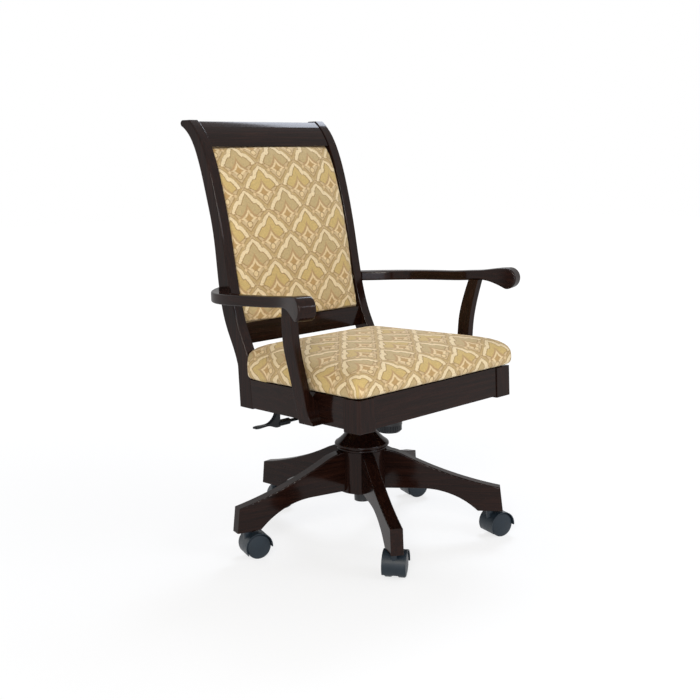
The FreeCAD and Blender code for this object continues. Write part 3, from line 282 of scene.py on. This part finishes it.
def damask(name, pattern_start):
    """Woven furnishing damask: an ogee lattice whose arches hold a bell and a four-pointed star.

    Broad cream arches with scalloped edges stand a little proud of a tan ground, over sage and gold
    fills in turn, with a matt thready surface. The lattice repeats every 122 mm both ways.
    """
    material, tree, shader = begin(name)
    spread = add(tree, "ShaderNodeUVMap", uv_map="cloth")
    start = Vector((pattern_start[0] * MM, pattern_start[1] * MM, 0))
    flat = add(tree, "ShaderNodeMapping",
               {"Vector": spread, "Location": start, "Scale": Vector((MM, MM, MM))},
               vector_type="TEXTURE")
    # The woven outlines wander by a millimetre or two.
    wander = add(tree, NOISE, {"Vector": flat, "Scale": 0.20, "Detail": 3.0, "Roughness": 0.7})
    drawn = add(tree, VECTOR, (wander.node.outputs["Color"], (6.0, 6.0, 0.0), flat),
                operation="MULTIPLY_ADD")
    second, side, rise = lattice(tree, drawn)
    arch, fill, stripe = arches(tree, side, rise)
    star, bell, curl, bud = ornaments(tree, side, rise)

    # Each colour is laid over those before it, where its measure passes from the first to the second value.
    colour, line = linear("#d0b68b"), linear("#a6875a")
    filling = add(tree, MIX, {0: second, 6: linear("#c3ab7c"), 7: linear("#ceb275")}, data_type="RGBA")
    for measure, first, last, thread in (
            (stripe, -1.8, -0.6, line), (stripe, 0.0, 2.0, linear("#c2a674")),
            (arch, -2.4, -1.2, line), (arch, -1.0, 1.6, linear("#ead4a9")),
            (fill, -0.6, 0.8, line), (fill, 1.4, 3.4, filling),
            (bell, 1.66, 1.44, linear("#bb996b")), (curl, 5.0, 3.6, linear("#dcc193")),
            (star, 1.28, 1.12, linear("#e6cd9f")), (star, 0.90, 0.76, linear("#bd9a66")),
            (bud, 9.4, 8.2, line), (bud, 7.6, 5.6, linear("#e2c898"))):
        laid = add(tree, RANGE, (measure, first, last, 0.0, 1.0), interpolation_type="SMOOTHSTEP")
        colour = add(tree, MIX, {0: laid, 6: colour, 7: thread}, data_type="RGBA")

    # Heathered yarn shades every colour, in streaks a few millimetres long and in larger patches.
    shaded = colour
    for stretch, low, high in (((0.30, 0.75, 1.0), 0.80, 1.15), ((0.15, 0.20, 1.0), 0.86, 1.11)):
        yarn = add(tree, VECTOR, (flat, stretch), operation="MULTIPLY")
        heather = add(tree, NOISE, {"Vector": yarn, "Scale": 1.0, "Detail": 4.0, "Roughness": 0.7})
        heather = add(tree, RANGE, (heather, 0.3, 0.7, low, high))
        shaded = add(tree, MIX, {0: 1.0, 6: shaded, 7: heather}, data_type="RGBA",
                     blend_type="MULTIPLY")

    # Threads are 0.7 mm apart. They are drawn 1.4 mm apart, which is as fine as a close view shows.
    turns = 2 * math.pi / 1.4
    threads = []
    for direction in add(tree, "ShaderNodeSeparateXYZ", (flat,)).node.outputs[:2]:
        phase = add(tree, MATH, (direction, turns), operation="MULTIPLY")
        threads.append(add(tree, MATH, (phase,), operation="SINE"))
    weave = add(tree, MATH, threads, operation="MULTIPLY")
    # Paler yarns stand prouder.
    tone = add(tree, "ShaderNodeRGBToBW", (colour,))
    proud = add(tree, MATH, (tone, 3.0), operation="MULTIPLY")
    relief = add(tree, MATH, (weave, 0.30, proud), operation="MULTIPLY_ADD")
    bump = add(tree, BUMP, {"Strength": 0.35, "Distance": 0.6 * MM, "Height": relief})
    wire(tree, shader, {"Base Color": shaded, "Roughness": 0.88, "Specular IOR Level": 0.2,
                        "Sheen Weight": 0.12, "Sheen Roughness": 0.45, "Normal": bump})
    return material


# Soft pieces

def link(name, mesh):
    """A new object of this mesh, in the scene."""
    piece = bpy.data.objects.new(name, mesh)
    bpy.context.scene.collection.objects.link(piece)
    return piece


def settle(piece):
    """Makes what the modifiers give the piece's own mesh, and takes the modifiers off."""
    shape = piece.evaluated_get(bpy.context.evaluated_depsgraph_get())
    mesh = bpy.data.meshes.new_from_object(shape)
    mesh.name = piece.name
    piece.modifiers.clear()
    piece.data = mesh


def stuffing(name, node, voxel, growth):
    """A fine closed skin over the space that the node fills, let out by growth along each axis."""
    piece = link(name, nodes[node].data.copy())
    shell = bmesh.new()
    shell.from_mesh(piece.data)
    bmesh.ops.remove_doubles(shell, verts=shell.verts, dist=0.02 * MM)
    bmesh.ops.recalc_face_normals(shell, faces=shell.faces)
    shell.to_mesh(piece.data)
    shell.free()
    remesh = piece.modifiers.new("skin", "REMESH")
    remesh.mode = "VOXEL"
    remesh.voxel_size = voxel
    settle(piece)
    for point in piece.data.vertices:
        point.co += Vector(part * grown for part, grown in zip(point.normal, growth))
    return piece


def inflate(piece, caps, is_held):
    """Fills the skin with air while is_held points stay.

    Along each axis, no point goes further out than that axis's cap, or further in than a fifth of it.
    """
    frames, inward = 20, 0.2
    rest = [point.co.copy() for point in piece.data.vertices]
    held = piece.vertex_groups.new(name="held")
    held.add([index for index, place in enumerate(rest) if is_held(place)], 1.0, "REPLACE")
    cloth = piece.modifiers.new("cloth", "CLOTH")
    cloth.settings.quality = 6
    cloth.settings.mass = 0.25
    cloth.settings.tension_stiffness = 12
    cloth.settings.compression_stiffness = 12
    cloth.settings.use_pressure = True
    cloth.settings.uniform_pressure_force = 4.0
    cloth.settings.vertex_group_mass = "held"
    cloth.settings.effector_weights.gravity = 0
    cloth.point_cache.frame_end = frames
    for moment in range(1, frames + 1):
        bpy.context.scene.frame_set(moment)
    settle(piece)
    bpy.context.scene.frame_set(1)
    piece.vertex_groups.clear()
    middle = sum(rest, Vector()) / len(rest)
    for point, place in zip(piece.data.vertices, rest):
        for axis, cap in enumerate(caps):
            away = math.copysign(1, place[axis] - middle[axis])
            move = max(-inward * cap, min(cap, (point.co[axis] - place[axis]) * away))
            point.co[axis] = place[axis] + away * move


def smooth(piece, rounds):
    """Evens the skin out and divides it once more."""
    shell = bmesh.new()
    shell.from_mesh(piece.data)
    for _ in range(rounds):
        bmesh.ops.smooth_vert(shell, verts=shell.verts, factor=0.5, use_axis_x=True, use_axis_y=True,
                              use_axis_z=True)
    for face in shell.faces:
        face.smooth = True
    shell.to_mesh(piece.data)
    shell.free()
    finer = piece.modifiers.new("finer", "SUBSURF")
    finer.levels = finer.render_levels = 1
    settle(piece)


def lay_cloth(piece, spread):
    """Gives the piece its cloth map: spread says, in metres, where each point falls on the flat cloth."""
    layer = piece.data.uv_layers.new(name="cloth")
    flat = [spread(point.co) for point in piece.data.vertices]
    corners = [0] * len(piece.data.loops)
    piece.data.loops.foreach_get("vertex_index", corners)
    layer.data.foreach_set("uv", [part for corner in corners for part in flat[corner]])


def ease(value, start, end):
    """From 0 at start to 1 at end, smoothly."""
    share = max(0.0, min(1.0, (value - start) / (end - start)))
    return share * share * (3 - 2 * share)


def seat_spread(low, high):
    """The seat's cloth lies flat on the crown and turns down over the front, rear and side edges.

    It turns down along the nearest edge, and round each corner from one to the other.
    """
    shoulder = high.z - 24 * MM  # Where the crown ends and the sides begin.
    half_width = (high.x - low.x) / 2
    taper = 0.075  # How much each side comes in, per metre towards the rear.
    corner = 25 * MM

    def spread(place):
        down = max(0.0, shoulder - place.z)
        to_side = half_width - (place.y - low.y) * taper - abs(place.x)
        to_end = min(place.y - low.y, high.y - place.y)
        endwise = ease(to_side - to_end, -corner, corner)
        return (place.x + math.copysign(down * (1 - endwise), place.x),
                place.y + math.copysign(down * endwise, place.y))
    return spread


def back_spread(piece, facing):
    """The back's cloth runs up the curved panel, laid a little askew, and turns in over its edges.

    The panel's curve is read from a strip up its middle. The pattern's columns lean, all from one level,
    and its rows slope. Cloth that lies more than the pad's depth behind the face goes round the sides.
    """
    steps = 48
    strip, pad_depth = 60 * MM, 9 * MM
    lean, level, slope = 0.030, 250 * MM, 0.047
    heights = [point.co.z for point in piece.data.vertices]
    foot, top = min(heights), max(heights)
    faces = [[] for _ in range(steps + 1)]
    for point in piece.data.vertices:
        if abs(point.co.x) < strip:
            faces[round((point.co.z - foot) / (top - foot) * steps)].append(point.co.y * facing)
    depth = [min(values) * facing for values in faces]
    length = [0.0]
    for before, after in zip(depth, depth[1:]):
        length.append(length[-1] + math.hypot(after - before, (top - foot) / steps))

    def spread(place):
        share = (place.z - foot) / (top - foot) * steps
        step = min(int(share), steps - 1)
        part = share - step
        face = depth[step] + (depth[step + 1] - depth[step]) * part
        behind = max(0.0, (place.y - face) * facing - pad_depth)
        up = length[step] + (length[step + 1] - length[step]) * part
        across = (place.x + math.copysign(behind, place.x)) * facing
        return (across - lean * (up - level), up - slope * across)
    return spread


def make_seat():
    """The seat cushion: foam crowned in the middle, its cloth drawn down and under the frame's edge."""
    low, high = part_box("seat_cushion")
    underside = low.z + 4 * MM
    cushion = stuffing("seat_upholstery", "seat_cushion", 6 * MM, (4.5 * MM, 4.5 * MM, -1.5 * MM))
    inflate(cushion, (5 * MM, 4 * MM, 2 * MM), lambda place: place.z < underside)
    smooth(cushion, 3)
    lay_cloth(cushion, seat_spread(low, high))
    cushion.data.materials.clear()
    cushion.data.materials.append(damask("woven_damask_seat", (-98.0, -216.0)))
    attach(cushion, "seat")
    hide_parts("seat_cushion")


def swell_back(pad, cap):
    """Blows the front pad out from the board behind it, whose curve its rearmost points keep."""
    band, held_depth, edge_cap = 10 * MM, 4 * MM, 1.5 * MM
    rearmost = {}
    for point in pad.data.vertices:
        step = round(point.co.z / band)
        rearmost[step] = max(rearmost.get(step, -1.0), point.co.y)
    inflate(pad, (edge_cap, cap, edge_cap),
            lambda place: place.y > rearmost[round(place.z / band)] - held_depth)


def make_back():
    """The two upholstered faces of the back panel: a swelled pad in front and a taut one behind."""
    cloth = damask("woven_damask_back", (-19.8, 284.2))
    for name, node, facing, cap in (("back_upholstery", "back_cushion", 1, 5 * MM),
                                    ("rear_upholstery", "back_cover", -1, 2 * MM)):
        # The pad pulls in by 0.6 mm at its sides and ends, and clears the frame round it.
        pad = stuffing(name, node, 5 * MM, (-0.6 * MM, cap, -0.6 * MM))
        if facing > 0:
            swell_back(pad, cap)
        smooth(pad, 2)
        lay_cloth(pad, back_spread(pad, facing))
        pad.data.materials.clear()
        pad.data.materials.append(cloth)
        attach(pad, "seat")
        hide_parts(node)


# Hard pieces

def finish_nodes():
    """Gives every hard piece the finish of its slot, with the wood's grain along its length.

    The rear rail is lacquered like the rest of the frame, though its slot is plain wood, and the lever's
    rod is blackened. The soft solids, which their upholstery hides, get the lacquered wood unseen.
    """
    finishes = {"caster_plastic": moulded_nylon("moulded_nylon", "#1d272f", 0.40),
                "black_plastic": moulded_nylon("moulded_black_plastic", "#15181c", 0.36),
                "black_metal": coated_steel("powder_coated_steel", "#121315", 0.45, 0.0),
                "steel": coated_steel("zinc_plated_steel", "#b9bcc0", 0.30, 1.0),
                "plain_wood": birch_plywood("birch_plywood")}
    blackened = coated_steel("black_oxide_steel", "#2b2c2f", 0.38, 1.0)
    crosswise = ("crest_rail", "lower_back_rail", "front_rail", "rear_rail")
    front_to_rear = ("side_rail_left", "side_rail_right", "arm_left", "arm_right")
    woods = {}
    for name, piece in nodes.items():
        coat = piece.material_slots[0]
        slot = coat.material.name.split(".")[0]
        if name == "lever_rod":
            coat.material = blackened
        elif slot in finishes and name != "rear_rail":
            coat.material = finishes[slot]
        else:
            grain = (0, 0, 1)
            if name in crosswise:
                grain = (1, 0, 0)
            elif name in front_to_rear:
                grain = (0, 1, 0)
            elif name.startswith("leg_"):
                low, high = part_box(name)
                out = (low + high) / 2
                grain = (out.x, out.y, 0)
            key = tuple(round(part, 3) for part in grain)
            if key not in woods:
                woods[key] = lacquered_wood("lacquered_hardwood_" + str(len(woods) + 1), grain)
            coat.material = woods[key]


# Floor, surroundings and lamps

def seen_directly(tree):
    """1 where the camera sees this straight, in a reflection or through glass, and otherwise 0."""
    seen = add(tree, "ShaderNodeLightPath").node.outputs
    direct = add(tree, MATH, (seen["Is Camera Ray"], seen["Is Glossy Ray"]), operation="MAXIMUM")
    return add(tree, MATH, (direct, seen["Is Transmission Ray"]), operation="MAXIMUM")


def lay_floor():
    """A white floor that keeps the chair's shadow near it and glows evenly further out."""
    mesh = bpy.data.meshes.new("floor")
    plane = bmesh.new()
    bmesh.ops.create_grid(plane, x_segments=1, y_segments=1, size=12)
    plane.to_mesh(mesh)
    plane.free()
    floor = link("floor", mesh)
    material, tree, shader = begin("studio_floor")
    direct = seen_directly(tree)
    spot = add(tree, "ShaderNodeTexCoord").node.outputs["Object"]
    away = add(tree, VECTOR, (spot,), operation="LENGTH").node.outputs["Value"]
    # The share of plain white is 0.70 within half a metre of the column, and 1 from 3 m out.
    glow = add(tree, RANGE, (away, 0.5, 3.0, 0.70, 1.0))
    share = add(tree, MATH, (direct, glow), operation="MULTIPLY")
    wire(tree, shader, {"Base Color": linear("#f4f4f4"), "Roughness": 0.9, "Specular IOR Level": 0.0})
    white = add(tree, "ShaderNodeEmission", {"Color": linear("#ffffff"), "Strength": 1.06})
    both = add(tree, "ShaderNodeMixShader", (share, shader.outputs[0], white))
    wire(tree, tree.nodes["Material Output"], {"Surface": both})
    floor.data.materials.append(material)


def make_sky():
    """A white sky, which lights the chair by less than half of what it shows."""
    world = bpy.data.worlds.new("studio")
    bpy.context.scene.world = world
    world.use_nodes = True
    tree = world.node_tree
    tree.nodes.clear()
    strength = add(tree, RANGE, (seen_directly(tree), 0.0, 1.0, 0.44, 1.0))
    sky = add(tree, "ShaderNodeBackground", {"Color": linear("#ffffff"), "Strength": strength})
    add(tree, "ShaderNodeOutputWorld", {"Surface": sky})


def hang_lamps():
    """Soft lamps: one high in front, one low in front, a strip on the right, and one high behind."""
    target = Vector((0, 0, 0.5))
    for name, place, size, watts, colour in (
            ("key", (-2.9, -2.2, 2.1), (0.9, 0.9), 60.0, "#fff9ef"),
            ("front", (-2.55, -2.5, 0.62), (1.2, 0.8), 20.0, "#e4edff"),
            ("fill", (0.9, -3.1, 1.9), (1.6, 0.5), 26.0, "#eaf1ff"),
            ("top", (2.5, 1.25, 3.1), (1.3, 1.3), 76.0, "#e8f0ff")):
        lamp = bpy.data.lights.new(name, "AREA")
        lamp.shape = "RECTANGLE"
        lamp.size, lamp.size_y = size
        lamp.energy = watts
        lamp.color = linear(colour)[:3]
        holder = bpy.data.objects.new(name, lamp)
        bpy.context.scene.collection.objects.link(holder)
        holder.location = place
        holder.rotation_euler = (target - Vector(place)).to_track_quat("-Z", "Y").to_euler()


place_camera()
finish_nodes()
make_seat()
make_back()
lay_floor()
make_sky()
hang_lamps()
bpy.context.scene.view_settings.view_transform = "Standard"
